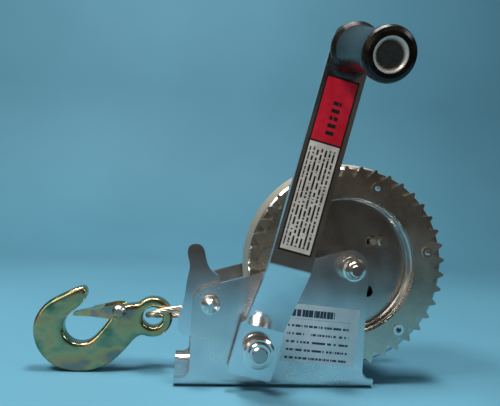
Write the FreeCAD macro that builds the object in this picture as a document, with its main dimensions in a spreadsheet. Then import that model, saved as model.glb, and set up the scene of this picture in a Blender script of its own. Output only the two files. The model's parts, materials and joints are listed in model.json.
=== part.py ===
import FreeCAD, Part
import math
import os
import Sketcher

V = FreeCAD.Vector

# Driving dimensions in millimetres and degrees.
# X runs from the hook to the gear, Y from the crank side to the far side, Z up.
# The origin is the centre of the underside of the base.
SIZES = {
    "sheet": 3.0,
    "frame_half": 29.0,
    "base_half": 65.0,
    "wall_left": 55.5,
    "wall_right": 57.5,
    "wall_foot": 6.0,
    "lobe_rad": 11.5,
    "base_bend": 5.0,
    "base_hole_rad": 5.25,
    "base_hole_pitch": 84.0,
    "axle_x": 46.0,
    "axle_z": 79.0,
    "axle_rad": 4.0,
    "sleeve_rad": 6.0,
    "crank_x": -13.7,
    "crank_z": 27.2,
    "shaft_rad": 7.0,
    "stud_rad": 5.0,
    "gear_module": 3.1,
    "gear_teeth": 41,
    "pinion_teeth": 10,
    "gear_front": -22.0,
    "gear_thick": 4.0,
    "gear_inner": 46.0,
    "pinion_front": -25.6,
    "pinion_long": 7.2,
    "rivet_circle": 55.5,
    "rivet_start": 12.0,
    "pan_sheet": 1.5,
    "dish_rad": 45.0,
    "dish_floor": -12.0,
    "rim_front_rad": 66.0,
    "rim_back_rad": 68.4,
    "rim_back": -3.2,
    "core_rad": 18.0,
    "core_far": 21.0,
    "wind_rad": 36.0,
    "disc_rad": 50.0,
    "far_flange_rad": 56.0,
    "pawl_x": -44.0,
    "pawl_z": 53.0,
    "pawl_bolt_rad": 3.0,
    "pawl_front": -24.9,
    "pawl_thick": 5.8,
    "arm_lean": 13.0,
    "arm_thick": 5.0,
    "arm_wide": 25.0,
    "foot_wide": 28.0,
    "foot_front": -38.0,
    "arm_front": -62.0,
    "arm_reach": 189.5,
    "grip_tilt": 17.0,
    "grip_long": 62.0,
    "grip_collar_rad": 14.6,
    "grip_end_rad": 13.4,
    "grip_waist_rad": 11.4,
    "pin_rad": 4.0,
    "rope_dia": 4.0,
    "rope_y": 1.5,
    "rope_z": 40.7,
    "eye_x": -81.1,
    "eye_z": 37.5,
    "eye_rad": 13.4,
    "eye_hole_rad": 6.8,
    "hook_thick": 11.0,
    "latch_x": -103.4,
    "latch_z": 41.1,
}

doc = FreeCAD.newDocument("BoatTrailerWinch")
sheet = doc.addObject("Spreadsheet::Sheet", "Sizes")
for row, (name, value) in enumerate(SIZES.items(), start=1):
    sheet.set(f"A{row}", name)
    sheet.set(f"B{row}", str(value))
    sheet.setAlias(f"B{row}", name)
doc.recompute()


def size(name):
    """Driving dimension read back from the spreadsheet."""
    return float(sheet.get(name))


NODES = []


def keep(obj, label):
    """Give an object its node name and remember it for export."""
    obj.Label = label
    NODES.append(obj)
    return obj


def new_body(label, at=None):
    """Body whose place is driven by the named X and Z dimensions."""
    body = doc.addObject("PartDesign::Body", "Body_" + label)
    keep(body, label)
    if at:
        body.setExpression("Placement.Base.x", "Sizes." + at + "_x")
        body.setExpression("Placement.Base.z", "Sizes." + at + "_z")
    return body


def new_sketch(body, role, offset=0.0):
    """Sketch on one of the body's origin planes, moved along its normal."""
    plane = next(f for f in body.Origin.OriginFeatures if f.Role == role)
    sketch = body.newObject("Sketcher::SketchObject", "Sketch")
    sketch.AttachmentSupport = [(plane, "")]
    sketch.MapMode = "FlatFace"
    sketch.AttachmentOffset = FreeCAD.Placement(V(0, 0, offset), FreeCAD.Rotation())
    return sketch


def draw_polygon(sketch, points):
    """Closed run of straight lines."""
    last = len(points)
    for i in range(last):
        a = V(*points[i], 0)
        b = V(*points[(i + 1) % last], 0)
        sketch.addGeometry(Part.LineSegment(a, b), False)


def draw_circle(sketch, centre, radius, driver=None):
    """Circle, with its radius driven by a spreadsheet cell when one is named."""
    index = sketch.addGeometry(Part.Circle(V(*centre, 0), V(0, 0, 1), radius), False)
    if driver:
        number = sketch.addConstraint(Sketcher.Constraint("Radius", index, radius))
        sketch.setExpression(f"Constraints[{number}]", "Sizes." + driver)
    return index


def draw_smooth(sketch, points):
    """Closed smooth curve through points."""
    curve = Part.BSplineCurve()
    curve.interpolate([V(*p, 0) for p in points], PeriodicFlag=True)
    sketch.addGeometry(curve, False)


def pad(body, sketch, length, driver=None):
    """Pad along the sketch normal."""
    feature = body.newObject("PartDesign::Pad", "Pad")
    feature.Profile = sketch
    feature.Length = length
    if driver:
        feature.setExpression("Length", driver)
    return feature


def pocket_through(body, sketch):
    """Pocket through everything, both ways."""
    feature = body.newObject("PartDesign::Pocket", "Pocket")
    feature.Profile = sketch
    feature.Type = 1
    feature.Midplane = True
    return feature


def pocket_depth(body, sketch, depth):
    """Pocket of a given depth against the sketch normal."""
    feature = body.newObject("PartDesign::Pocket", "Pocket")
    feature.Profile = sketch
    feature.Length = depth
    return feature


def revolve(body, sketch):
    """Full turn about the sketch's upright axis."""
    feature = body.newObject("PartDesign::Revolution", "Revolution")
    feature.Profile = sketch
    feature.ReferenceAxis = (sketch, ["V_Axis"])
    feature.Angle = 360.0
    return feature


def soften(body, feature, radius, wanted):
    """Fillet the edges of a feature picked by a test on the edge."""
    doc.recompute()
    names = []
    for number, edge in enumerate(feature.Shape.Edges, start=1):
        if wanted(edge):
            names.append(f"Edge{number}")
    fillet = body.newObject("PartDesign::Fillet", "Fillet")
    fillet.Base = (feature, names)
    fillet.Radius = radius
    return fillet


def turned(label, at, profile):
    """Part turned about an axis along Y; profile is a loop of (radius, y)."""
    body = new_body(label, at)
    sketch = new_sketch(body, "XY_Plane")
    draw_polygon(sketch, profile)
    revolve(body, sketch)
    return body


def tube_profile(outer, inner, near, far):
    """Profile of a plain ring between two Y positions."""
    return [(inner, near), (outer, near), (outer, far), (inner, far)]


def hexagon(across_flats, turn=0.0):
    """Corners of a regular hexagon about the origin."""
    corner = across_flats / 2 / math.cos(math.pi / 6)
    angles = [math.radians(turn + 60 * i) for i in range(6)]
    return [(corner * math.cos(a), corner * math.sin(a)) for a in angles]


def hex_piece(label, at, across_flats, profile, flat_near, flat_far, turn=0.0):
    """Turned nut or bolt with six flats between two Y positions."""
    body = turned(label, at, profile)
    sketch = new_sketch(body, "XZ_Plane", -flat_near)
    draw_circle(sketch, (0, 0), across_flats)
    draw_polygon(sketch, hexagon(across_flats, turn))
    cutter = pocket_depth(body, sketch, abs(flat_far - flat_near))
    return body, cutter


# --- Frame: bent channel with two profiled walls ---------------------------

def wall_outline():
    """Side profile of both walls and the base, counter-clockwise in X and Z."""
    left, right, foot = size("wall_left"), size("wall_right"), size("wall_foot")
    base, rad = size("base_half"), size("lobe_rad")
    axle = (size("axle_x"), size("axle_z"))
    pawl = (size("pawl_x"), size("pawl_z"))
    run = math.hypot(axle[0] - pawl[0], axle[1] - pawl[1])
    slope = math.asin((axle[1] - pawl[1]) / run)
    normal = slope + math.pi / 2
    corner = 5.0
    edge = [(-base, 0), (base, 0), (base, foot)]
    for i in range(7):
        a = -math.pi / 2 - i * math.pi / 12
        edge.append((right + corner + corner * math.cos(a), foot + corner + corner * math.sin(a)))
    for i in range(13):
        a = i * normal / 12
        edge.append((axle[0] + rad * math.cos(a), axle[1] + rad * math.sin(a)))
    for i in range(13):
        a = normal + i * (math.pi - normal) / 12
        edge.append((pawl[0] + rad * math.cos(a), pawl[1] + rad * math.sin(a)))
    for i in range(7):
        a = -i * math.pi / 12
        edge.append((-left - corner + corner * math.cos(a), foot + corner + corner * math.sin(a)))
    edge.append((-base, foot))
    return edge


frame = new_body("frame")
half, thick, bend = size("frame_half"), size("sheet"), size("base_bend")


def channel_side(offset, radius):
    """Left half of the channel section at an offset inwards, from top to base."""
    points = [(-half + offset, 95.0)]
    for i in range(7):
        a = math.pi + i * math.pi / 12
        points.append((-half + bend + radius * math.cos(a), bend + radius * math.sin(a)))
    return points


outside = channel_side(0.0, bend)
inside = channel_side(thick, bend - thick)
section = outside + [(-y, z) for y, z in reversed(outside)]
section += [(-y, z) for y, z in inside] + list(reversed(inside))
channel_sketch = new_sketch(frame, "YZ_Plane", -size("base_half"))
draw_polygon(channel_sketch, section)
pad(frame, channel_sketch, 2 * size("base_half"), "2 * Sizes.base_half")
side_sketch = new_sketch(frame, "XZ_Plane")
draw_polygon(side_sketch, [(-80, -20), (80, -20), (80, 110), (-80, 110)])
draw_polygon(side_sketch, wall_outline())
pocket_through(frame, side_sketch)
axle_holes = new_sketch(frame, "XZ_Plane")
draw_circle(axle_holes, (size("axle_x"), size("axle_z")), size("axle_rad") + 0.05)
draw_circle(axle_holes, (size("pawl_x"), size("pawl_z")), size("pawl_bolt_rad") + 0.05)
draw_circle(axle_holes, (size("crank_x"), size("crank_z")), size("shaft_rad") + 0.06)
pocket_through(frame, axle_holes)
base_sketch = new_sketch(frame, "XY_Plane")
for side in (-1, 1):
    draw_circle(base_sketch, (side * size("base_hole_pitch") / 2, 0), size("base_hole_rad"), "base_hole_rad")
pocket_through(frame, base_sketch)


# --- Gear and pinion -------------------------------------------------------

PRESSURE = math.radians(27.0)
BACKLASH = 0.35


def flank(radius, teeth):
    """Half tooth angle of an involute tooth at a radius."""
    pitch = size("gear_module") * teeth / 2
    base = pitch * math.cos(PRESSURE)
    inside = math.acos(min(1.0, base / max(radius, base)))
    at_pitch = math.tan(PRESSURE) - PRESSURE
    at_radius = math.tan(inside) - inside
    return math.pi / 2 / teeth - BACKLASH / 2 / pitch + at_pitch - at_radius


def tooth_gap(teeth, turn):
    """Outline of one space between teeth, centred on an angle in degrees."""
    module = size("gear_module")
    pitch = module * teeth / 2
    root, tip = pitch - 1.25 * module, pitch + module
    middle = math.radians(turn)
    half_pitch = math.pi / teeth
    radii = [root + (tip - root) * i / 6 for i in range(7)]
    right = [(r, middle - half_pitch + flank(r, teeth)) for r in radii]
    left = [(r, middle + half_pitch - flank(r, teeth)) for r in reversed(radii)]
    loop = right + [(tip + 3, right[-1][1]), (tip + 3, left[0][1])] + left
    return [(r * math.cos(a), r * math.sin(a)) for r, a in loop]


def toothed(label, at, teeth, front, length, bore, turn):
    """Spur wheel with its spaces cut as a polar pattern."""
    body = new_body(label, at)
    blank = new_sketch(body, "XZ_Plane", -(front + length))
    draw_circle(blank, (0, 0), size("gear_module") * (teeth + 2) / 2)
    draw_circle(blank, (0, 0), bore)
    pad(body, blank, length)
    space = new_sketch(body, "XZ_Plane")
    draw_polygon(space, tooth_gap(teeth, turn))
    cut = pocket_through(body, space)
    doc.recompute()
    pattern = body.newObject("PartDesign::PolarPattern", "Teeth")
    pattern.Originals = [cut]
    axis = next(f for f in body.Origin.OriginFeatures if f.Role == "Y_Axis")
    pattern.Axis = (axis, [""])
    pattern.Angle = 360.0
    pattern.Occurrences = teeth
    body.Tip = pattern
    return body


mesh = math.degrees(math.atan2(size("crank_z") - size("axle_z"), size("crank_x") - size("axle_x")))
gear = toothed("drum_gear", "axle", SIZES["gear_teeth"], size("gear_front"), size("gear_thick"),
               size("gear_inner"), mesh)
rivet_holes = new_sketch(gear, "XZ_Plane")
for i in range(6):
    spot = math.radians(size("rivet_start") + 60 * i)
    centre = (size("rivet_circle") * math.cos(spot), size("rivet_circle") * math.sin(spot))
    draw_circle(rivet_holes, centre, 2.9)
gear.Tip = pocket_through(gear, rivet_holes)
pinion = toothed("pinion", "crank", SIZES["pinion_teeth"], size("pinion_front"), size("pinion_long"),
                 size("shaft_rad"), mesh + 180 + 180 / SIZES["pinion_teeth"])

# --- Drum: dished pan, barrel, rope discs ----------------------------------

gear_back = size("gear_front") + size("gear_thick")
wall = size("pan_sheet")
floor_y, dish = size("dish_floor"), size("dish_rad")
rim_front, rim_back = size("rim_front_rad"), size("rim_back_rad")
pan_loop = [(size("sleeve_rad") + 0.08, floor_y + wall), (size("sleeve_rad") + 0.08, floor_y)]
pan_loop += [(dish - 1.0, floor_y), (dish - 0.2, floor_y - 0.8), (dish, gear_back + 0.8)]
pan_loop += [(dish + 0.8, gear_back), (rim_front - 1.2, gear_back), (rim_front, gear_back + 1.2)]
pan_loop += [(rim_back, size("rim_back")), (rim_back - wall, size("rim_back"))]
pan_loop += [(rim_front - wall, gear_back + wall + 0.4), (rim_front - wall - 0.4, gear_back + wall)]
pan_loop += [(dish + wall + 0.4, gear_back + wall), (dish + wall, gear_back + wall + 0.4)]
pan_loop += [(dish + wall - 0.4, floor_y + wall)]
pan = turned("drum_pan", "axle", pan_loop)
pan_holes = new_sketch(pan, "XZ_Plane")
for i in range(6):
    spot = math.radians(size("rivet_start") + 60 * i)
    centre = (size("rivet_circle") * math.cos(spot), size("rivet_circle") * math.sin(spot))
    draw_circle(pan_holes, centre, 2.9)
ANCHOR = [(19.4, 16.4), (17.8, -17.8)]
for spot in ANCHOR:
    draw_circle(pan_holes, spot, 4.0)
pocket_through(pan, pan_holes)

core_rad, core_far = size("core_rad"), size("core_far")
bore = size("sleeve_rad") + 0.06
core_near = floor_y + wall
core_loop = [(bore, core_near), (core_rad, core_near), (core_rad, core_far), (bore, core_far)]
core_loop += [(bore, core_far - 2), (core_rad - 1.6, core_far - 2), (core_rad - 1.6, core_near + 2)]
core_loop += [(bore, core_near + 2)]
turned("drum_barrel", "axle", core_loop)
disc_y = -6.0
turned("rope_disc", "axle", tube_profile(size("disc_rad"), core_rad, disc_y, disc_y + wall))
turned("far_flange", "axle", tube_profile(size("far_flange_rad"), bore, core_far, core_far + wall))
wind_near, wind_far = disc_y + wall, core_far
turned("rope_winding", "axle", tube_profile(size("wind_rad"), core_rad, wind_near, wind_far))


def placed(shape, at):
    """Shape moved from its own axis to a named axis of the winch."""
    shape.Placement = FreeCAD.Placement(V(size(at + "_x"), 0, size(at + "_z")), FreeCAD.Rotation())
    return shape


def along_y(radius, near, far, x=0.0, z=0.0):
    """Solid cylinder along Y."""
    return Part.makeCylinder(radius, far - near, V(x, near, z), V(0, 1, 0))


def group(label, shapes):
    """One node made of separate solids or one built solid."""
    obj = doc.addObject("Part::Feature", "Group_" + label)
    obj.Shape = shapes[0] if len(shapes) == 1 else Part.makeCompound(shapes)
    return keep(obj, label)


def hollow_rivet(angle):
    """Tubular rivet through gear and pan with a rolled head at each side."""
    x = size("rivet_circle") * math.cos(angle)
    z = size("rivet_circle") * math.sin(angle)
    front, back = size("gear_front"), gear_back + wall
    body = along_y(2.85, front - 0.9, back + 0.9, x, z)
    body = body.fuse(along_y(3.7, front - 0.9, front, x, z))
    body = body.fuse(along_y(3.7, back, back + 0.9, x, z))
    return placed(body.cut(along_y(1.9, front - 2, back + 2, x, z)).removeSplitter(), "axle")


start = math.radians(size("rivet_start"))
group("gear_rivets", [hollow_rivet(start + i * math.pi / 3) for i in range(6)])

# Rope end held by a saddle clamp in the dish.
anchor_x, anchor_z = ANCHOR[0]
stub = along_y(2.0, floor_y - 2.6, floor_y + wall + 0.6, anchor_x, anchor_z)
group("rope_end", [placed(stub, "axle")])
saddle = Part.makeBox(13, 2.2, 7.0, V(anchor_x - 3.0, floor_y - 2.2, anchor_z - 3.5))
saddle = saddle.cut(along_y(2.0, floor_y - 9, floor_y + 9, anchor_x, anchor_z))
screw = along_y(2.6, floor_y - 4.4, floor_y - 2.2, anchor_x + 6.3, anchor_z)
group("rope_clamp", [placed(saddle.fuse(screw).removeSplitter(), "axle")])

# --- Axle ------------------------------------------------------------------

rad = size("axle_rad")
washer_t = 1.6
seat = -half - washer_t
bolt_end = -42.6
bolt_loop = [(0, bolt_end), (rad - 0.8, bolt_end), (rad, bolt_end + 0.8), (rad, half + washer_t)]
bolt_loop += [(7.4, half + washer_t), (7.4, half + washer_t + 4.6), (6.6, half + washer_t + 5.4)]
bolt_loop += [(0, half + washer_t + 5.4)]
hex_piece("axle_bolt", "axle", 13.0, bolt_loop, half + washer_t + 5.4, half + washer_t)
turned("axle_sleeve", "axle", tube_profile(size("sleeve_rad"), rad + 0.05, -half + thick, half - thick))
near_washer = along_y(8.2, seat, -half).cut(along_y(rad + 0.2, seat - 1, -half + 1))
far_washer = along_y(8.2, half, half + washer_t).cut(along_y(rad + 0.2, half - 1, half + washer_t + 1))
group("axle_washers", [placed(near_washer, "axle"), placed(far_washer, "axle")])


def lock_nut(label, at, across, thread, seat_y, flat_long, collar_long, turn=0.0):
    """Hexagon lock nut with a round collar at its outer end."""
    corner = across / 2 / math.cos(math.pi / 6)
    collar = across * 0.43
    near = seat_y - flat_long - collar_long
    loop = [(thread, seat_y), (corner - 0.5, seat_y), (corner, seat_y - 0.5)]
    loop += [(corner, seat_y - flat_long + 0.9), (corner - 1.3, seat_y - flat_long)]
    loop += [(collar, seat_y - flat_long), (collar, near + 0.7), (collar - 0.7, near)]
    loop += [(thread, near)]
    return hex_piece(label, at, across, loop, seat_y, seat_y - flat_long, turn)


lock_nut("axle_nut", "axle", 13.0, rad, seat, 6.6, 2.4, 12.0)

# --- Crank shaft -----------------------------------------------------------

shaft, stud = size("shaft_rad"), size("stud_rad")
foot_front, arm_t = size("foot_front"), size("arm_thick")
foot_back = foot_front + arm_t
shaft_end, stud_end = 34.0, -50.0
clip_y = half + 2.2
shaft_loop = [(0, stud_end), (stud - 0.9, stud_end), (stud, stud_end + 0.9), (stud, foot_back)]
shaft_loop += [(shaft, foot_back), (shaft, clip_y), (shaft - 0.9, clip_y), (shaft - 0.9, clip_y + 1.2)]
shaft_loop += [(shaft, clip_y + 1.2), (shaft, shaft_end - 1), (shaft - 1, shaft_end), (0, shaft_end)]
turned("crank_shaft", "crank", shaft_loop)
turned("crank_far_washer", "crank", tube_profile(11.0, shaft + 0.1, half + 0.4, clip_y - 0.1))
clip = along_y(10.0, clip_y + 0.1, clip_y + 1.1).cut(along_y(shaft - 0.85, clip_y - 1, clip_y + 3))
clip = clip.cut(Part.makeBox(9, 9, 20, V(-4.5, clip_y - 4, -20)))
group("crank_clip", [placed(clip, "crank")])
turned("crank_spacer", "crank", tube_profile(10.5, shaft + 0.02, foot_back, -half - 0.4))
turned("crank_washer", "crank", tube_profile(9.6, stud + 0.1, foot_front - 1.5, foot_front))
lock_nut("crank_nut", "crank", 17.0, stud, foot_front - 1.5, 7.0, 2.6, 30.0)

# --- Crank arm and grip ----------------------------------------------------

lean = size("arm_lean")
arm_front = size("arm_front")
arm_back = arm_front + arm_t
ramp_low, ramp_high = 14.5, 55.0
run_y, run_z = foot_front - arm_front, ramp_high - ramp_low
ramp = math.hypot(run_y, run_z)
shift_low = (arm_t * run_z / ramp - arm_t) * run_z / run_y
back_low = ramp_low + arm_t * run_y / ramp + shift_low
back_high = back_low + run_z
reach = size("arm_reach")
tip_u = reach + size("arm_wide") / 2

arm = new_body("crank_arm", "crank")
arm.Placement = FreeCAD.Placement(V(size("crank_x"), 0, size("crank_z")), FreeCAD.Rotation(V(0, 1, 0), lean))
arm.setExpression("Placement.Rotation.Angle", "Sizes.arm_lean")
side = new_sketch(arm, "YZ_Plane")
draw_polygon(side, [(foot_front, -18), (foot_back, -18), (foot_back, back_low), (arm_back, back_high),
                    (arm_back, tip_u), (arm_front, tip_u), (arm_front, ramp_high), (foot_front, ramp_low)])
bar = pad(arm, side, 60)
bar.Midplane = True


def upper_bend(edge):
    """Edge across the bar where the ramp meets the straight arm."""
    middle = edge.CenterOfMass
    return abs(middle.z - back_high) < 2.5 and edge.Length > 50


soften(arm, bar, 9.0, upper_bend)
ARM_LEFT, ARM_RIGHT = -12.0, 13.0
FOOT_LEFT, FOOT_RIGHT = -14.5, 13.5
CORNER = 8.5
plan = [(FOOT_LEFT + 1.5, -18), (FOOT_RIGHT - 1.5, -18), (FOOT_RIGHT, -16.5), (FOOT_RIGHT, 14)]
plan += [(ARM_RIGHT, 15.5)]
for i in range(7):
    turn = i * math.pi / 12
    plan.append((ARM_RIGHT - CORNER + CORNER * math.cos(turn), tip_u - CORNER + CORNER * math.sin(turn)))
for i in range(7):
    turn = math.pi / 2 + i * math.pi / 12
    plan.append((ARM_LEFT + CORNER + CORNER * math.cos(turn), tip_u - CORNER + CORNER * math.sin(turn)))
plan += [(ARM_LEFT, 17), (FOOT_LEFT, 14), (FOOT_LEFT, -16.5)]
outline = new_sketch(arm, "XZ_Plane")
draw_polygon(outline, [(-60, -60), (60, -60), (60, 260), (-60, 260)])
draw_polygon(outline, plan)
pocket_through(arm, outline)
arm_holes = new_sketch(arm, "XZ_Plane")
draw_circle(arm_holes, (0, 0), stud + 0.02)
draw_circle(arm_holes, (0, reach), size("pin_rad"))
pocket_through(arm, arm_holes)

lean_rad = math.radians(lean)
pin_x = size("crank_x") + reach * math.sin(lean_rad)
pin_z = size("crank_z") + reach * math.cos(lean_rad)
tilt = FreeCAD.Rotation(V(1, 0, 0), size("grip_tilt"))
pin_place = FreeCAD.Placement(V(pin_x, arm_front, pin_z), tilt)
pin_rad = size("pin_rad")
grip_start, grip_end = 5.4, 5.4 + size("grip_long")
recess = grip_end - 3.4

stem = Part.makeCylinder(pin_rad, recess + 1.2, V(0, 0, 0), V(0, -1, 0))
stem.Placement = pin_place
collar = Part.makeCylinder(6.5, 2.6, V(pin_x, arm_front - 2.6, pin_z), V(0, 1, 0))
rivet = Part.makeCylinder(pin_rad, arm_t, V(pin_x, arm_front, pin_z), V(0, 1, 0))
head = Part.makeCone(7.0, 5.0, 2.2, V(pin_x, arm_back, pin_z), V(0, 1, 0))
stem = stem.cut(Part.makeBox(60, 60, 60, V(pin_x - 30, arm_front, pin_z - 30)))
group("grip_pin", [stem.fuse([collar, rivet, head]).removeSplitter()])


def turned_on_pin(label, loop):
    """Part turned about the tilted pin; loop of (radius, distance from the arm)."""
    body = doc.addObject("PartDesign::Body", "Body_" + label)
    keep(body, label)
    sketch = new_sketch(body, "XY_Plane")
    draw_polygon(sketch, [(r, -d) for r, d in loop])
    revolve(body, sketch)
    body.Placement = pin_place
    body.setExpression("Placement.Base.y", "Sizes.arm_front")
    return body


collar_r, end_r, waist_r = size("grip_collar_rad"), size("grip_end_rad"), size("grip_waist_rad")
grip_loop = [(pin_rad + 0.08, grip_start), (collar_r - 2.0, grip_start), (collar_r - 0.6, grip_start + 0.6)]
grip_loop += [(collar_r, grip_start + 2.2), (collar_r, grip_start + 4.4), (collar_r - 0.9, grip_start + 6.4)]
for i in range(13):
    share = i / 12
    swell = math.sin(math.pi * share)
    straight = collar_r - 1.8 + (end_r - 1.4 - collar_r + 1.8) * share
    grip_loop.append((straight - (straight - waist_r) * swell * 0.9, grip_start + 8.5 + 43.5 * share))
grip_loop += [(end_r - 0.5, grip_end - 8.2), (end_r, grip_end - 6.0), (end_r, grip_end - 2.6)]
grip_loop += [(end_r - 0.8, grip_end - 0.8), (end_r - 2.6, grip_end), (8.8, grip_end), (8.8, recess)]
grip_loop += [(pin_rad + 0.08, recess)]
turned_on_pin("grip", grip_loop)
cup = [(pin_rad, recess + 0.3), (8.0, recess + 0.3), (8.5, grip_end - 0.2), (7.9, grip_end - 0.2)]
cup += [(6.5, recess + 1.2), (pin_rad, recess + 1.2)]
turned_on_pin("grip_cup", cup)
turned_on_pin("grip_plug", [(0, recess + 1.2), (6.4, recess + 1.2), (6.0, recess + 2.4), (0, recess + 2.6)])

# --- Labels ----------------------------------------------------------------

arm_label = new_body("arm_label", "crank")
arm_label.Placement = arm.Placement
arm_label.setExpression("Placement.Rotation.Angle", "Sizes.arm_lean")
label_sketch = new_sketch(arm_label, "XZ_Plane", -arm_front)
draw_polygon(label_sketch, [(-9.9, 65.8), (10.3, 65.8), (10.3, 171.0), (-9.9, 171.0)])
pad(arm_label, label_sketch, 0.25)
rating = new_body("rating_label")
rating_sketch = new_sketch(rating, "XZ_Plane", half)
corner_turn = math.radians(-4.0)
plate = [(-24.5, -18.8), (24.5, -18.8), (24.5, 18.8), (-24.5, 18.8)]
draw_polygon(rating_sketch, [(28.0 + a * math.cos(corner_turn) - b * math.sin(corner_turn),
                              34.8 + a * math.sin(corner_turn) + b * math.cos(corner_turn)) for a, b in plate])
pad(rating, rating_sketch, 0.2)

# --- Pawl ------------------------------------------------------------------

PAWL_EDGE = [
    (-10.6, 37.6), (-15.2, 35.2), (-15.6, 30.5), (-14.2, 25.0), (-15.2, 15.0), (-16.3, 4.8),
    (-18.2, -5.0), (-20.0, -13.3), (-18.2, -19.5), (-12.0, -21.6), (-6.0, -17.0), (2.0, -13.0),
    (10.0, -12.6), (15.4, -11.2), (19.8, -9.8), (20.9, -8.0), (19.6, -6.2), (14.0, -4.4),
    (9.0, -0.6), (7.0, 5.0), (5.2, 10.5), (5.3, 16.0), (0.8, 20.2), (-3.0, 25.6), (-5.2, 33.6),
]
pawl = new_body("pawl", "pawl")
pawl_front, pawl_back = size("pawl_front"), size("pawl_front") + size("pawl_thick")
pawl_sketch = new_sketch(pawl, "XZ_Plane", -pawl_back)
draw_smooth(pawl_sketch, PAWL_EDGE)
draw_circle(pawl_sketch, (0, 0), size("pawl_bolt_rad") + 0.06)
pad(pawl, pawl_sketch, size("pawl_thick"), "Sizes.pawl_thick")
small = size("pawl_bolt_rad")
pivot_loop = [(0, -36.2), (small - 0.5, -36.2), (small, -35.7), (small, half), (5.8, half)]
pivot_loop += [(5.8, half + 3.6), (5.2, half + 4.2), (0, half + 4.2)]
hex_piece("pawl_bolt", "pawl", 10.0, pivot_loop, half + 4.2, half)
lock_nut("pawl_nut", "pawl", 10.0, small, -half, 5.2, 0.6, 10.0)
wall_in = half - thick
turned("pawl_spacer", "pawl", tube_profile(5.2, small + 0.03, pawl_back + 0.3, wall_in))
turned("pawl_washer", "pawl", tube_profile(6.2, small + 0.03, -wall_in, pawl_front - 0.3))
turns = [Part.makeTorus(6.6, 0.6, V(0, -17.4 + 1.5 * i, 0), V(0, 1, 0)) for i in range(6)]
group("pawl_spring", [placed(ring, "pawl") for ring in turns])

# --- Hook and latch --------------------------------------------------------

HOOK_EDGE = [
    (-128.4, 57.0), (-133.0, 55.6), (-141.5, 51.2), (-149.7, 46.4), (-154.6, 41.0), (-157.8, 34.5),
    (-158.7, 28.0), (-157.8, 21.5), (-155.0, 14.6), (-150.0, 8.2), (-143.6, 3.6), (-135.4, 0.9),
    (-127.9, 0.2), (-120.6, 0.8), (-112.6, 3.4), (-106.3, 7.4), (-100.4, 13.2), (-95.6, 19.0),
    (-90.0, 24.6), (-82.0, 27.5), (-78.0, 36.0), (-82.0, 46.0), (-91.0, 46.4), (-98.0, 45.4),
    (-104.0, 43.2), (-108.4, 37.8), (-111.9, 32.2), (-115.7, 27.2), (-119.7, 22.9), (-123.7, 20.0),
    (-127.9, 19.0), (-132.4, 19.8), (-136.6, 22.6), (-139.0, 26.6), (-139.5, 31.0), (-138.0, 35.6),
    (-134.6, 39.6), (-129.8, 43.8), (-126.2, 48.2), (-125.0, 53.6),
]
eye_x, eye_z = size("eye_x"), size("eye_z")
hook = new_body("hook", "eye")
hook.setExpression("Placement.Base.y", "Sizes.rope_y")
hook_sketch = new_sketch(hook, "XZ_Plane")
draw_smooth(hook_sketch, [(x - eye_x, z - eye_z) for x, z in HOOK_EDGE])
bow = pad(hook, hook_sketch, size("hook_thick"), "Sizes.hook_thick")
bow.Midplane = True
eye_sketch = new_sketch(hook, "XZ_Plane")
draw_circle(eye_sketch, (0, 0), size("eye_rad"), "eye_rad")
eye = pad(hook, eye_sketch, size("hook_thick"), "Sizes.hook_thick")
eye.Midplane = True
eye_hole = new_sketch(hook, "XZ_Plane")
draw_circle(eye_hole, (0, 0), size("eye_hole_rad"), "eye_hole_rad")
draw_circle(eye_hole, (size("latch_x") - eye_x, size("latch_z") - eye_z), 2.0)
pocket_through(hook, eye_hole)

rope_y = size("rope_y")
hook_half = size("hook_thick") / 2
latch_x, latch_z = size("latch_x"), size("latch_z")


def slab(points, near, far):
    """Flat solid of an XZ outline between two Y positions."""
    loop = [V(x, near, z) for x, z in points]
    face = Part.Face(Part.makePolygon(loop + [loop[0]]))
    return face.extrude(V(0, far - near, 0))


CHEEK = [(4.6, -2.4), (4.6, 3.0), (2.0, 4.8), (-3.0, 4.6), (-18.0, 1.0), (-18.0, -3.2), (-3.0, -5.0), (2.6, -4.4)]
TONGUE = [(-10.0, 2.9), (-29.8, -1.9), (-30.4, -2.9), (-29.8, -3.8), (-10.0, -4.4)]
near_cheek = slab(CHEEK, -hook_half - 1.5, -hook_half - 0.3)
far_cheek = slab(CHEEK, hook_half + 0.3, hook_half + 1.5)
tongue = slab(TONGUE, -3.2, 3.2).cut(slab([(-9, 1.4), (-29, -2.9), (-29, -6), (-9, -6)], -2.0, 2.0))
bridge = slab([(-10.0, 2.9), (-18.0, 1.0), (-18.0, -0.2), (-10.0, 1.7)], -hook_half - 1.5, hook_half + 1.5)
latch = near_cheek.fuse([far_cheek, tongue, bridge])
latch = latch.cut(along_y(2.06, -20, 20)).removeSplitter()
latch.Placement = FreeCAD.Placement(V(latch_x, rope_y, latch_z), FreeCAD.Rotation())
group("hook_latch", [latch])
pin = along_y(2.0, -hook_half - 1.8, hook_half + 1.8)
for side in (-1, 1):
    dome = Part.makeCone(4.4, 2.8, 1.6, V(0, side * (hook_half + 1.8), 0), V(0, side, 0))
    pin = pin.fuse(dome)
pin.Placement = latch.Placement
group("latch_rivet", [pin.removeSplitter()])

# --- Rope ------------------------------------------------------------------

rope_dia = size("rope_dia")


def bend_radius(before, corner, after):
    """Arc radius at a corner from its shorter run and its turn."""
    first, second = corner - before, after - corner
    turn = first.getAngle(second)
    return 0.45 * min(first.Length, second.Length) / math.tan(turn / 2)


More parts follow.
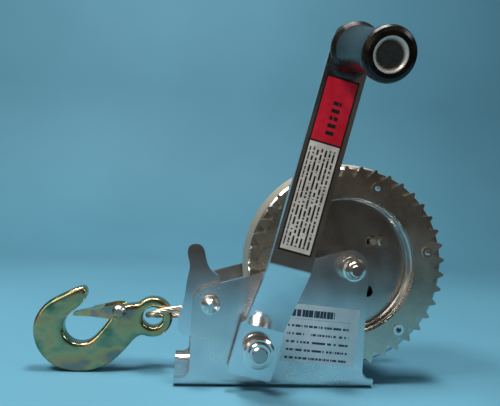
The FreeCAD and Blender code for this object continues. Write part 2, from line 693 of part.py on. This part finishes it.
def cord(points):
    """Tube along straight runs joined by tangent arcs."""
    knots = [V(*p) for p in points]
    edges = []
    at = knots[0]
    for i in range(1, len(knots) - 1):
        first = (knots[i] - knots[i - 1]).normalize()
        second = (knots[i + 1] - knots[i]).normalize()
        turn = first.getAngle(second)
        radius = bend_radius(knots[i - 1], knots[i], knots[i + 1])
        trim = radius * math.tan(turn / 2)
        enter, leave = knots[i] - first * trim, knots[i] + second * trim
        inward = (second - first).normalize()
        middle = knots[i] + inward * (radius / math.cos(turn / 2) - radius)
        edges.append(Part.LineSegment(at, enter).toShape())
        edges.append(Part.Arc(enter, middle, leave).toShape())
        at = leave
        print("cord bend radius", round(radius, 2))
    edges.append(Part.LineSegment(at, knots[-1]).toShape())
    path = Part.Wire(edges)
    ring = Part.Wire(Part.Circle(knots[0], knots[1] - knots[0], rope_dia / 2).toShape())
    solid = path.makePipeShell([ring], True, True)
    ideal = math.pi * rope_dia ** 2 / 4 * path.Length
    if abs(solid.Volume - ideal) > 0.02 * ideal:
        raise ValueError("cord volume is off")
    print("cord length", round(path.Length, 1))
    return solid


rope_z = size("rope_z")
FERRULE_LEFT, FERRULE_RIGHT = -48.8, -36.1
ROPE_LEFT, ROPE_RIGHT = -50.0, -36.0
LEAD = [(46.0, rope_y, rope_z), (19.0, rope_y, rope_z - 0.4), (-9.0, rope_y, rope_z + 0.3),
        (ROPE_RIGHT, rope_y, rope_z - 0.2)]
LOOP = [(ROPE_LEFT, 1.5, 42.6), (-62.0, -5.5, 45.0), (-74.0, -7.6, 43.6), (-84.2, -7.0, 40.0),
        (-84.4, 9.8, 36.6), (-74.0, 10.6, 35.6), (-62.0, 7.8, 37.2), (ROPE_LEFT, 1.5, 38.4)]
group("rope_free", [cord(LEAD), cord(LOOP)])
ferrule_long = FERRULE_RIGHT - FERRULE_LEFT
ferrule = Part.makeCylinder(3.4, ferrule_long, V(FERRULE_LEFT, rope_y, 42.0), V(1, 0, 0))
ferrule = ferrule.fuse(Part.makeCylinder(3.4, ferrule_long, V(FERRULE_LEFT, rope_y, 39.0), V(1, 0, 0)))
ferrule = ferrule.fuse(Part.makeBox(ferrule_long, 6.8, 3.0, V(FERRULE_LEFT, rope_y - 3.4, 39.0)))
group("rope_ferrule", [ferrule.removeSplitter()])

# --- Check and write -------------------------------------------------------

doc.recompute()
os.makedirs("parts", exist_ok=True)
for obj in doc.Objects:
    if {"Invalid", "Error"} & set(obj.State):
        raise ValueError("failed: " + obj.Label)
for node in NODES:
    if node.Shape.isNull() or not node.Shape.isValid():
        raise ValueError("bad shape: " + node.Label)
    node.Shape.exportStep(f"parts/{node.Label}.step")
    print(node.Label, round(node.Shape.Volume), len(node.Shape.Solids))
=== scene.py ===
import json
import math
import bpy
from mathutils import Matrix, Vector


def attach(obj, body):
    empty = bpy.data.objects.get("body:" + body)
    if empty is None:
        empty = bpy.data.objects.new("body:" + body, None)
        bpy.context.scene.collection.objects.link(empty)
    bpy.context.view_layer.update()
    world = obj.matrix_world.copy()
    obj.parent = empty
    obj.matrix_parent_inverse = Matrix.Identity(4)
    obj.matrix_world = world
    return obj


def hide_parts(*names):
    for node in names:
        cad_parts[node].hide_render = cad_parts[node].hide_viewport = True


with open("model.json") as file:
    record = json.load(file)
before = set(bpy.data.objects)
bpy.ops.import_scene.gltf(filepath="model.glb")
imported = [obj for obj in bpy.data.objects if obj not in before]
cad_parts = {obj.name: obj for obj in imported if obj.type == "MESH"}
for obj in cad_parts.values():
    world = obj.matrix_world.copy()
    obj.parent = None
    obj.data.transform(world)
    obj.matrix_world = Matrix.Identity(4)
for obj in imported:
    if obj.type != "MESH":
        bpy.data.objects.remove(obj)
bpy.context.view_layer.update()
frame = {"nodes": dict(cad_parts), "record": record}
nodes = frame["nodes"]
MM = 0.001

# Pivots and sizes shared by several pieces, in millimetres
AXLE_X, AXLE_Z = 46.0, 79.0
CRANK_X, CRANK_Z = -13.7, 27.2
PAWL_X, PAWL_Z = -44.0, 53.0
ARM_LEAN = math.radians(13.0)
ROPE_DIAMETER = 4.0


# --- Materials -------------------------------------------------------------

class Look:
    """A node material with helpers for building it."""

    def __init__(self, name):
        self.material = bpy.data.materials.new(name)
        self.material.use_nodes = True
        self.tree = self.material.node_tree
        self.shader = self.tree.nodes["Principled BSDF"]
        coord = self.tree.nodes.new("ShaderNodeTexCoord")
        self.place = coord.outputs["Object"]

    def link(self, a, b):
        self.tree.links.new(a, b)

    def put(self, name, value):
        """Set a shader input to a plain value."""
        self.shader.inputs[name].default_value = value

    def feed(self, name, source):
        """Drive a shader input from a node."""
        self.link(source, self.shader.inputs[name])

    def noise(self, scale, detail=4.0, stretch=(1, 1, 1), rough=0.5, turn=(0, 0, 0)):
        mapping = self.tree.nodes.new("ShaderNodeMapping")
        mapping.inputs["Scale"].default_value = stretch
        mapping.inputs["Rotation"].default_value = turn
        self.link(self.place, mapping.inputs["Vector"])
        node = self.tree.nodes.new("ShaderNodeTexNoise")
        node.inputs["Scale"].default_value = scale
        node.inputs["Detail"].default_value = detail
        node.inputs["Roughness"].default_value = rough
        self.link(mapping.outputs["Vector"], node.inputs["Vector"])
        return node.outputs["Fac"]

    def ramp(self, source, stops):
        """Colours blended between the given positions."""
        node = self.tree.nodes.new("ShaderNodeValToRGB")
        band = node.color_ramp
        while len(band.elements) < len(stops):
            band.elements.new(0.5)
        for element, (at, colour) in zip(band.elements, stops):
            element.position = at
            element.color = (*colour, 1)
        self.link(source, node.inputs["Fac"])
        return node.outputs["Color"]

    def span(self, source, low, high, start=0.0, end=1.0):
        """Map start..end of the source to low..high."""
        node = self.tree.nodes.new("ShaderNodeMapRange")
        node.inputs["From Min"].default_value = start
        node.inputs["From Max"].default_value = end
        node.inputs["To Min"].default_value = low
        node.inputs["To Max"].default_value = high
        self.link(source, node.inputs["Value"])
        return node.outputs["Result"]

    def math(self, kind, a, b=0.0, c=0.0):
        node = self.tree.nodes.new("ShaderNodeMath")
        node.operation = kind
        for socket, value in zip(node.inputs, (a, b, c)):
            if isinstance(value, (int, float)):
                socket.default_value = value
            else:
                self.link(value, socket)
        return node.outputs[0]

    def inside(self, value, low, high):
        """One where a value lies between two limits, else nought."""
        above = self.math("GREATER_THAN", value, low)
        below = self.math("LESS_THAN", value, high)
        return self.math("MULTIPLY", above, below)

    def window(self, across, across_limits, along, along_limits):
        """One inside a rectangle, else nought."""
        return self.math("MULTIPLY", self.inside(across, *across_limits), self.inside(along, *along_limits))

    def mix(self, share, a, b):
        node = self.tree.nodes.new("ShaderNodeMix")
        node.data_type = "RGBA"
        for socket, value in ((node.inputs[0], share), (node.inputs[6], a), (node.inputs[7], b)):
            if isinstance(value, tuple):
                socket.default_value = (*value, 1)
            elif isinstance(value, (int, float)):
                socket.default_value = value
            else:
                self.link(value, socket)
        return node.outputs[2]

    def bump(self, source, strength, distance=0.0002):
        node = self.tree.nodes.new("ShaderNodeBump")
        node.inputs["Strength"].default_value = strength
        node.inputs["Distance"].default_value = distance
        self.link(source, node.inputs["Height"])
        self.link(node.outputs["Normal"], self.shader.inputs["Normal"])

    def flat_place(self, turn, origin_x, origin_z):
        """Millimetres across and along a flat face that looks to -Y, turned about an origin."""
        split = self.tree.nodes.new("ShaderNodeSeparateXYZ")
        self.link(self.place, split.inputs[0])
        x = self.math("MULTIPLY_ADD", split.outputs["X"], 1000.0, -origin_x)
        z = self.math("MULTIPLY_ADD", split.outputs["Z"], 1000.0, -origin_z)
        c, s = math.cos(turn), math.sin(turn)
        across = self.math("ADD", self.math("MULTIPLY", x, c), self.math("MULTIPLY", z, -s))
        along = self.math("ADD", self.math("MULTIPLY", x, s), self.math("MULTIPLY", z, c))
        return across, along


def zinc_look(name, dark, light, rough, tint=(0.62, 0.55, 0.40), tint_share=0.25, bump=0.12):
    """Zinc plate or bare steel: cloudy colour, faint yellow film, fine streaks."""
    look = Look(name)
    cloud = look.noise(38.0, 5.0)
    fine = look.noise(420.0, 3.0)
    streak = look.noise(60.0, 3.0, (1, 1, 14))
    swell = look.noise(30.0, 1.0)
    film = look.noise(24.0, 2.0, (1, 1, 1), 0.4, (0.4, 0.2, 0))
    base = look.ramp(cloud, [(0.3, dark), (0.7, light)])
    look.feed("Base Color", look.mix(look.span(film, 0.0, tint_share, 0.45, 0.75), base, tint))
    grain = look.math("MULTIPLY_ADD", fine, 0.2, look.math("MULTIPLY", cloud, 0.8))
    look.feed("Roughness", look.span(grain, *rough, 0.3, 0.7))
    look.put("Metallic", 1.0)
    look.bump(look.math("MULTIPLY_ADD", swell, 0.95, look.math("MULTIPLY", streak, 0.05)), bump)
    return look


def zinc(*args, **options):
    """Material of a zinc look."""
    return zinc_look(*args, **options).material


def cup_zinc():
    """Whitish dull plate of the cup in the grip."""
    look = zinc_look("cup_metal", (0.86, 0.84, 0.80), (0.98, 0.96, 0.92), (0.42, 0.56),
                     (0.90, 0.85, 0.75), 0.3, 0.04)
    look.put("Metallic", 0.45)
    return look.material


def pan_zinc():
    """Zinc dish whose outer rim is duller, with a warm painted reflection in its colour."""
    look = zinc_look("zinc_pan", (0.46, 0.46, 0.45), (0.66, 0.65, 0.63), (0.17, 0.28), bump=0.05)
    rim_starts, rim_full = 65.6, 66.4
    # Rim colour is a painted reflection of the warm room; the higher rim roughness is real
    rim_painted_reflection, rim_rough = (0.56, 0.50, 0.40), 0.5
    across, along = look.flat_place(0.0, AXLE_X, AXLE_Z)
    square = look.math("ADD", look.math("MULTIPLY", across, across), look.math("MULTIPLY", along, along))
    rim = look.span(look.math("SQRT", square), 0.0, 1.0, rim_starts, rim_full)
    colour = look.shader.inputs["Base Color"].links[0].from_socket
    rough = look.shader.inputs["Roughness"].links[0].from_socket
    # Painted reflection: the rim's base colour is tinted warm
    look.feed("Base Color", look.mix(rim, colour, rim_painted_reflection))
    look.feed("Roughness", look.math("MAXIMUM", rough, look.math("MULTIPLY", rim, rim_rough)))
    return look.material


def chromate(name, rough, shade):
    """Yellow chromate with green, gold and violet clouds."""
    look = Look(name)
    cloud = look.noise(70.0, 3.0, (1, 1, 1.3), 0.45)
    wide = look.noise(19.0, 2.0, (1, 1, 1), 0.4, (0.7, 0.1, 0.3))
    fine = look.noise(300.0, 4.0)
    mixed = look.math("MULTIPLY_ADD", cloud, 0.6, look.math("MULTIPLY", wide, 0.4))
    stops = [(0.36, (0.13, 0.26, 0.16)), (0.43, (0.34, 0.40, 0.24)), (0.49, (0.56, 0.50, 0.26)),
             (0.55, (0.60, 0.40, 0.20)), (0.61, (0.38, 0.30, 0.26)), (0.68, (0.18, 0.32, 0.28))]
    shaded = [(at, tuple(part * shade for part in colour)) for at, colour in stops]
    look.feed("Base Color", look.ramp(mixed, shaded))
    look.feed("Roughness", look.span(fine, *rough, 0.3, 0.7))
    look.put("Metallic", 1.0)
    look.bump(look.math("MULTIPLY_ADD", fine, 0.15, look.math("MULTIPLY", cloud, 0.85)), 0.12)
    return look.material


def gloss_black():
    """Moulded black plastic with light scuffs."""
    look = Look("grip_black")
    scuff = look.noise(160.0, 4.0, (1, 3, 1))
    look.feed("Base Color", look.ramp(scuff, [(0.4, (0.004, 0.004, 0.004)), (0.75, (0.014, 0.012, 0.010))]))
    look.feed("Roughness", look.span(scuff, 0.20, 0.30, 0.35, 0.7))
    look.bump(scuff, 0.02)
    look.put("IOR", 1.42)
    return look.material


def matt_dark():
    """Dull dark end of the pin."""
    look = Look("plug_dark")
    grain = look.noise(500.0, 4.0)
    look.feed("Base Color", look.ramp(grain, [(0.3, (0.012, 0.011, 0.010)), (0.7, (0.035, 0.032, 0.028))]))
    look.feed("Roughness", look.span(grain, 0.5, 0.7))
    look.bump(grain, 0.3)
    return look.material


def dashes(look, across, along, pitch, share, start, frequency, gap):
    """Rows of plain dashes: rows step along the first coordinate, dashes run along the second."""
    steps = look.math("DIVIDE", look.math("SUBTRACT", across, start), pitch)
    line = look.math("LESS_THAN", look.math("FRACT", steps), share)
    number = look.math("FLOOR", steps)
    shifted = look.math("MULTIPLY_ADD", number, 7.3, along)
    combine = look.tree.nodes.new("ShaderNodeCombineXYZ")
    look.link(shifted, combine.inputs[0])
    look.link(number, combine.inputs[1])
    noise = look.tree.nodes.new("ShaderNodeTexNoise")
    noise.inputs["Scale"].default_value = frequency
    noise.inputs["Detail"].default_value = 1.0
    look.link(combine.outputs[0], noise.inputs["Vector"])
    return look.math("MULTIPLY", line, look.math("GREATER_THAN", noise.outputs["Fac"], gap))


def warning_film():
    """Bordered film on the arm: red upper end, plain dashes below. Limits are in mm from the crank."""
    look = Look("warning_film")
    ink = (0.006, 0.005, 0.005)
    red_starts, rule_starts = 132.5, 131.4
    across, along = look.flat_place(ARM_LEAN, CRANK_X, CRANK_Z)
    wear = look.noise(150.0, 5.0)
    grey = look.ramp(wear, [(0.3, (0.40, 0.38, 0.36)), (0.7, (0.56, 0.54, 0.52))])
    red = look.ramp(wear, [(0.3, (0.36, 0.004, 0.018)), (0.7, (0.50, 0.008, 0.030))])
    rows = look.math("MULTIPLY", dashes(look, across, along, 2.45, 0.46, -8.2, 0.62, 0.43),
                     look.window(across, (-7.9, 8.9), along, (69.5, 128.5)))
    bars = look.math("MULTIPLY", dashes(look, along, across, 4.4, 0.52, 137.0, 0.5, 0.36),
                     look.window(across, (-1.6, 3.4), along, (136.0, 158.0)))
    rule = look.inside(along, rule_starts, red_starts)
    marks = look.math("MAXIMUM", rule, look.math("MAXIMUM", rows, bars))
    field = look.mix(marks, look.mix(look.math("GREATER_THAN", along, red_starts), grey, red), ink)
    within_border = look.window(across, (-8.9, 9.3), along, (67.0, 169.8))
    look.feed("Base Color", look.mix(within_border, ink, field))
    look.feed("Roughness", look.span(wear, 0.30, 0.46))
    look.bump(wear, 0.05)
    return look.material


def rating_film():
    """Silver film on the wall with plain dashes. Limits are in mm from the film's middle."""
    look = Look("rating_film")
    ink = (0.03, 0.05, 0.08)
    across, along = look.flat_place(math.radians(4.0), 28.0, 34.8)
    wear = look.noise(120.0, 5.0)
    silver = look.ramp(wear, [(0.3, (0.46, 0.54, 0.58)), (0.7, (0.58, 0.66, 0.70))])
    rows = look.math("MULTIPLY", dashes(look, along, across, 5.2, 0.28, -16.6, 0.8, 0.46),
                     look.window(across, (-22.0, 19.0), along, (-17.0, 9.6)))
    heading = look.math("MULTIPLY", dashes(look, along, across, 6.2, 0.8, 10.6, 0.9, 0.42),
                        look.window(across, (-21.0, 8.0), along, (11.0, 16.0)))
    look.feed("Base Color", look.mix(look.math("MAXIMUM", rows, heading), silver, ink))
    look.put("Metallic", 0.55)
    look.feed("Roughness", look.span(wear, 0.30, 0.44))
    look.bump(wear, 0.05)
    return look.material


wire_steel = zinc("wire", (0.40, 0.37, 0.33), (0.62, 0.58, 0.50), (0.30, 0.45), (0.62, 0.48, 0.26), 0.5)
spring_steel = zinc("spring_wire", (0.28, 0.28, 0.29), (0.46, 0.46, 0.46), (0.24, 0.36))
MATERIALS = {
    "zinc_sheet": zinc("zinc_sheet", (0.60, 0.62, 0.64), (0.80, 0.82, 0.84), (0.20, 0.30), bump=0.05),
    "zinc_arm": zinc("zinc_arm", (0.66, 0.70, 0.74), (0.84, 0.87, 0.90), (0.15, 0.24), bump=0.04),
    "zinc_gear": zinc("zinc_gear", (0.44, 0.40, 0.34), (0.66, 0.61, 0.52), (0.22, 0.34), bump=0.06),
    "zinc_pan": pan_zinc(),
    "zinc_fastener": zinc("zinc_bolt", (0.66, 0.66, 0.64), (0.88, 0.88, 0.86), (0.14, 0.24),
                          (0.80, 0.68, 0.42), 0.35, 0.03),
    "steel_bar": zinc("steel_bar", (0.40, 0.40, 0.40), (0.56, 0.56, 0.56), (0.26, 0.40)),
    "wire_rope": wire_steel,
    "spring_wire": spring_steel,
    "hook_chromate": chromate("hook_finish", (0.16, 0.26), 0.78),
    "latch_chromate": chromate("latch_finish", (0.22, 0.34), 1.05),
    "grip_plastic": gloss_black(),
    "plug_dark": matt_dark(),
    "label_warning": warning_film(),
    "label_rating": rating_film(),
}


# --- Pieces carried over from CAD ------------------------------------------

def round_edges(obj, width):
    """Small bright edge on bent and cut sheet."""
    bevel = obj.modifiers.new("edge", "BEVEL")
    bevel.width = width
    bevel.segments = 2
    bevel.limit_method = "ANGLE"
    bevel.angle_limit = math.radians(40)
    bevel.harden_normals = True


def split_facets(obj):
    """Crisp flats on nuts and bolt heads."""
    split = obj.modifiers.new("facets", "EDGE_SPLIT")
    split.split_angle = math.radians(28)


def forge(obj):
    """Round a flat-cut piece all over, as forging does."""
    skin = obj.modifiers.new("skin", "REMESH")
    skin.mode = "VOXEL"
    skin.voxel_size = 0.7 * MM
    skin.use_smooth_shade = True
    smooth = obj.modifiers.new("forge", "SMOOTH")
    smooth.factor = 0.5
    smooth.iterations = 34


PLAIN_EDGES = {"arm_label", "rating_label", "hook", "rope_end", "gear_rivets"}
EDGE_WIDTHS = {"grip": 0.12 * MM, "frame": 0.6 * MM}
OTHER_EDGE_WIDTH = 0.4 * MM
cup_plate = cup_zinc()
slot_of = {part["node"]: part["material_slot"] for part in frame["record"]["subparts"]}
for name, obj in nodes.items():
    obj.data.materials.clear()
    obj.data.materials.append(cup_plate if name == "grip_cup" else MATERIALS[slot_of[name]])
    if name in PLAIN_EDGES:
        continue
    if slot_of[name] == "zinc_fastener":
        split_facets(obj)
    else:
        round_edges(obj, EDGE_WIDTHS.get(name, OTHER_EDGE_WIDTH))
forge(nodes["hook"])


# --- Rope ------------------------------------------------------------------

STRANDS = 6
STRAND_RADIUS = 0.72 * MM
STRAND_CENTRE = ROPE_DIAMETER * MM / 2 - STRAND_RADIUS
LAY_LENGTH = 26.0 * MM


def travelling_frames(path):
    """Point, two crosswise directions and distance run, for each point of a path."""
    last = len(path) - 1
    frames, normal, run = [], None, 0.0
    for i, point in enumerate(path):
        ahead = (path[min(i + 1, last)] - path[max(i - 1, 0)]).normalized()
        if normal is None:
            normal = ahead.orthogonal().normalized()
        else:
            run += (point - path[i - 1]).length
            normal = (normal - ahead * normal.dot(ahead)).normalized()
        frames.append((point, normal.copy(), ahead.cross(normal), run))
    return frames


def twisted_rope(name, path, sides=7):
    """A mesh of strands twisted round a path of points, with closed ends."""
    verts, faces = [], []
    frames = travelling_frames(path)
    for strand in range(STRANDS):
        first = len(verts)
        for point, across, side, run in frames:
            turn = 2 * math.pi * (strand / STRANDS + run / LAY_LENGTH)
            out = across * math.cos(turn) + side * math.sin(turn)
            edgeways = across.cross(side).cross(out)
            middle = point + out * STRAND_CENTRE
            for k in range(sides):
                angle = 2 * math.pi * k / sides
                verts.append(middle + out * (STRAND_RADIUS * math.cos(angle))
                             + edgeways * (STRAND_RADIUS * math.sin(angle)))
        for i in range(len(frames) - 1):
            for k in range(sides):
                a = first + i * sides + k
                b = first + i * sides + (k + 1) % sides
                faces.append((a, b, b + sides, a + sides))
        end = first + (len(frames) - 1) * sides
        faces.append(tuple(first + k for k in reversed(range(sides))))
        faces.append(tuple(end + k for k in range(sides)))
    mesh = bpy.data.meshes.new(name)
    mesh.from_pydata([tuple(v) for v in verts], [], faces)
    mesh.update()
    mesh.polygons.foreach_set("use_smooth", [True] * len(mesh.polygons))
    mesh.materials.append(wire_steel)
    obj = bpy.data.objects.new(name, mesh)
    bpy.context.scene.collection.objects.link(obj)
    return obj


def spline_points(points, step):
    """Points a step apart along a smooth spline through the given control points, in metres."""
    curve = bpy.data.curves.new("guide", "CURVE")
    curve.dimensions = "3D"
    curve.resolution_u = 24
    spline = curve.splines.new("NURBS")
    spline.points.add(len(points) - 1)
    for target, point in zip(spline.points, points):
        target.co = (*(Vector(point) * MM), 1)
    spline.order_u = 3
    spline.use_endpoint_u = True
    guide = bpy.data.objects.new("guide", curve)
    bpy.context.scene.collection.objects.link(guide)
    bpy.context.view_layer.update()
    mesh = bpy.data.meshes.new_from_object(guide)
    raw = [v.co.copy() for v in mesh.vertices]
    bpy.data.objects.remove(guide)
    bpy.data.meshes.remove(mesh)
    even, carry = [raw[0]], 0.0
    for a, b in zip(raw, raw[1:]):
        length = (b - a).length
        while length and carry + length >= step:
            a = a + (b - a) * ((step - carry) / length)
            length = (b - a).length
            carry = 0.0
            even.append(a.copy())
        carry += length
    even.append(raw[-1])
    return even


LEAD = [(46.0, 1.5, 40.7), (19.0, 1.5, 40.3), (-9.0, 1.5, 41.0), (-36.0, 1.5, 40.5)]
LOOP = [(-50.0, 1.5, 42.6), (-62.0, -5.5, 45.0), (-74.0, -7.6, 43.6), (-84.2, -7.0, 40.0),
        (-84.4, 9.8, 36.6), (-74.0, 10.6, 35.6), (-62.0, 7.8, 37.2), (-50.0, 1.5, 38.4)]
lead_path = spline_points(LEAD, 0.8 * MM)
loop_path = spline_points(LOOP, 0.6 * MM)
lead = twisted_rope("rope_lead", lead_path)
loop = twisted_rope("rope_loop", loop_path)
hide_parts("rope_free")
for piece in (lead, loop):
    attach(piece, "frame")


def helix(centre_x, centre_z, radius, turns, start_y, end_y, steps):
    """Points of a coil about a line along Y, in metres."""
    points = []
    for i in range(steps + 1):
        share = i / steps
        angle = 2 * math.pi * turns * share
        points.append(Vector((centre_x + radius * math.cos(angle), start_y + (end_y - start_y) * share,
                              centre_z + radius * math.sin(angle))) * MM)
    return points


# Two layers of rope, wound opposite ways, between the drum's disc and its far flange
WOUND_TURNS, WOUND_STEPS = 5.6, 900
WOUND_Y = (-2.4, 18.9)
OUTER_LAYER, INNER_LAYER = 33.95, 30.2
LAYERS = {"rope_turns": (OUTER_LAYER, WOUND_TURNS), "rope_under": (INNER_LAYER, -WOUND_TURNS)}
for name, (radius, turns) in LAYERS.items():
    layer = twisted_rope(name, helix(AXLE_X, AXLE_Z, radius, turns, *WOUND_Y, WOUND_STEPS), sides=6)
    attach(layer, "drum")
    if name == "rope_turns":
        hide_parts("rope_winding")


# --- Pawl spring -----------------------------------------------------------

def round_wire(name, points, radius, material):
    """A round wire along a run of points."""
    curve = bpy.data.curves.new(name, "CURVE")
    curve.dimensions = "3D"
    curve.bevel_depth = radius
    curve.bevel_resolution = 3
    curve.use_fill_caps = True
    spline = curve.splines.new("POLY")
    spline.points.add(len(points) - 1)
    for target, point in zip(spline.points, points):
        target.co = (*point, 1)
    curve.materials.append(material)
    obj = bpy.data.objects.new(name, curve)
    bpy.context.scene.collection.objects.link(obj)
    return obj


SPRING_RADIUS, SPRING_WIRE, SPRING_TURNS = 6.6, 0.55, 5
SPRING_Y = (-17.4, -9.9)
spring_line = helix(PAWL_X, PAWL_Z, SPRING_RADIUS, SPRING_TURNS, *SPRING_Y, 180)
spring = round_wire("pawl_coil", spring_line, SPRING_WIRE * MM, spring_steel)
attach(spring, "frame")
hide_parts("pawl_spring")


# --- Floor, light and camera -----------------------------------------------

def paper():
    """Paper backdrop with faint mottling."""
    look = Look("paper")
    mottle = look.noise(3.0, 5.0)
    look.feed("Base Color", look.ramp(mottle, [(0.3, (0.044, 0.165, 0.250)), (0.7, (0.054, 0.190, 0.282))]))
    look.put("Roughness", 0.75)
    look.bump(look.noise(400.0, 3.0), 0.04)
    return look.material


def paper_sweep(left, right, front, bend_from, bend_radius, top):
    """A sheet that lies flat, bends up and stands behind the winch."""
    bend_steps = 12
    verts = []
    for x in (left, right):
        verts.append((x, front, 0.0))
        verts.append((x, bend_from, 0.0))
        for i in range(1, bend_steps + 1):
            angle = math.pi / 2 * i / bend_steps
            verts.append((x, bend_from + bend_radius * math.sin(angle), bend_radius * (1 - math.cos(angle))))
        verts.append((x, bend_from + bend_radius, top))
    row = len(verts) // 2
    mesh = bpy.data.meshes.new("backdrop")
    mesh.from_pydata(verts, [], [(i, i + 1, row + i + 1, row + i) for i in range(row - 1)])
    mesh.polygons.foreach_set("use_smooth", [True] * len(mesh.polygons))
    mesh.materials.append(paper())
    obj = bpy.data.objects.new("backdrop", mesh)
    bpy.context.scene.collection.objects.link(obj)
    return obj


paper_sweep(left=-0.72, right=0.80, front=-0.31, bend_from=0.55, bend_radius=0.35, top=1.9)


def lamp(name, place, aim, size, power, colour):
    """Soft rectangular lamp pointing at a spot."""
    data = bpy.data.lights.new(name, "AREA")
    data.shape = "RECTANGLE"
    data.size, data.size_y = size
    data.energy = power
    data.color = colour
    obj = bpy.data.objects.new(name, data)
    obj.location = place
    obj.rotation_euler = (Vector(aim) - Vector(place)).to_track_quat("-Z", "Y").to_euler()
    bpy.context.scene.collection.objects.link(obj)


lamp("key", (-0.60, -0.35, 1.00), (-0.1, 0, 0.06), (0.30, 0.30), 17.0, (1.0, 0.92, 0.82))
lamp("top", (0.05, -0.08, 1.15), (0, 0, 0.1), (0.22, 0.22), 15.0, (1.0, 0.95, 0.88))
lamp("fill", (0.95, -0.75, 0.75), (0, 0, 0.1), (0.30, 0.30), 3.0, (0.90, 0.95, 1.0))
lamp("wash", (-0.25, 0.15, 1.35), (-0.25, 0.75, 0.35), (0.6, 0.3), 6.0, (1.0, 0.96, 0.92))
lamp("card", (-0.75, -0.95, 0.35), (-0.02, 0, 0.1), (0.40, 0.55), 2.6, (1.0, 0.86, 0.70))

world = bpy.data.worlds.new("room")
world.use_nodes = True
room = world.node_tree.nodes["Background"]
room.inputs["Color"].default_value = (0.34, 0.28, 0.22, 1)
room.inputs["Strength"].default_value = 0.13
bpy.context.scene.world = world


def photograph_camera():
    """Camera where the photograph was taken from: close, nearly level and slightly rolled."""
    azimuth, elevation, roll = (math.radians(angle) for angle in (-6.44, 1.48, 2.89))
    back = Vector((math.sin(azimuth) * math.cos(elevation), -math.cos(azimuth) * math.cos(elevation),
                   math.sin(elevation)))
    level_right = (-back).cross(Vector((0, 0, 1))).normalized()
    level_up = level_right.cross(-back)
    right = level_right * math.cos(roll) + level_up * math.sin(roll)
    up = level_up * math.cos(roll) - level_right * math.sin(roll)
    pose = Matrix((right, up, back)).transposed().to_4x4()
    pose.translation = Vector((-60.31, -367.53, 127.09)) * MM
    data = bpy.data.cameras.new("camera")
    data.sensor_width = 36.0
    data.lens = 38.73
    data.clip_start = 0.01
    obj = bpy.data.objects.new("camera", data)
    obj.matrix_world = pose
    bpy.context.scene.collection.objects.link(obj)
    return obj


bpy.context.scene.camera = photograph_camera()
bpy.context.scene.view_settings.view_transform = "Standard"

bpy.context.view_layer.update()
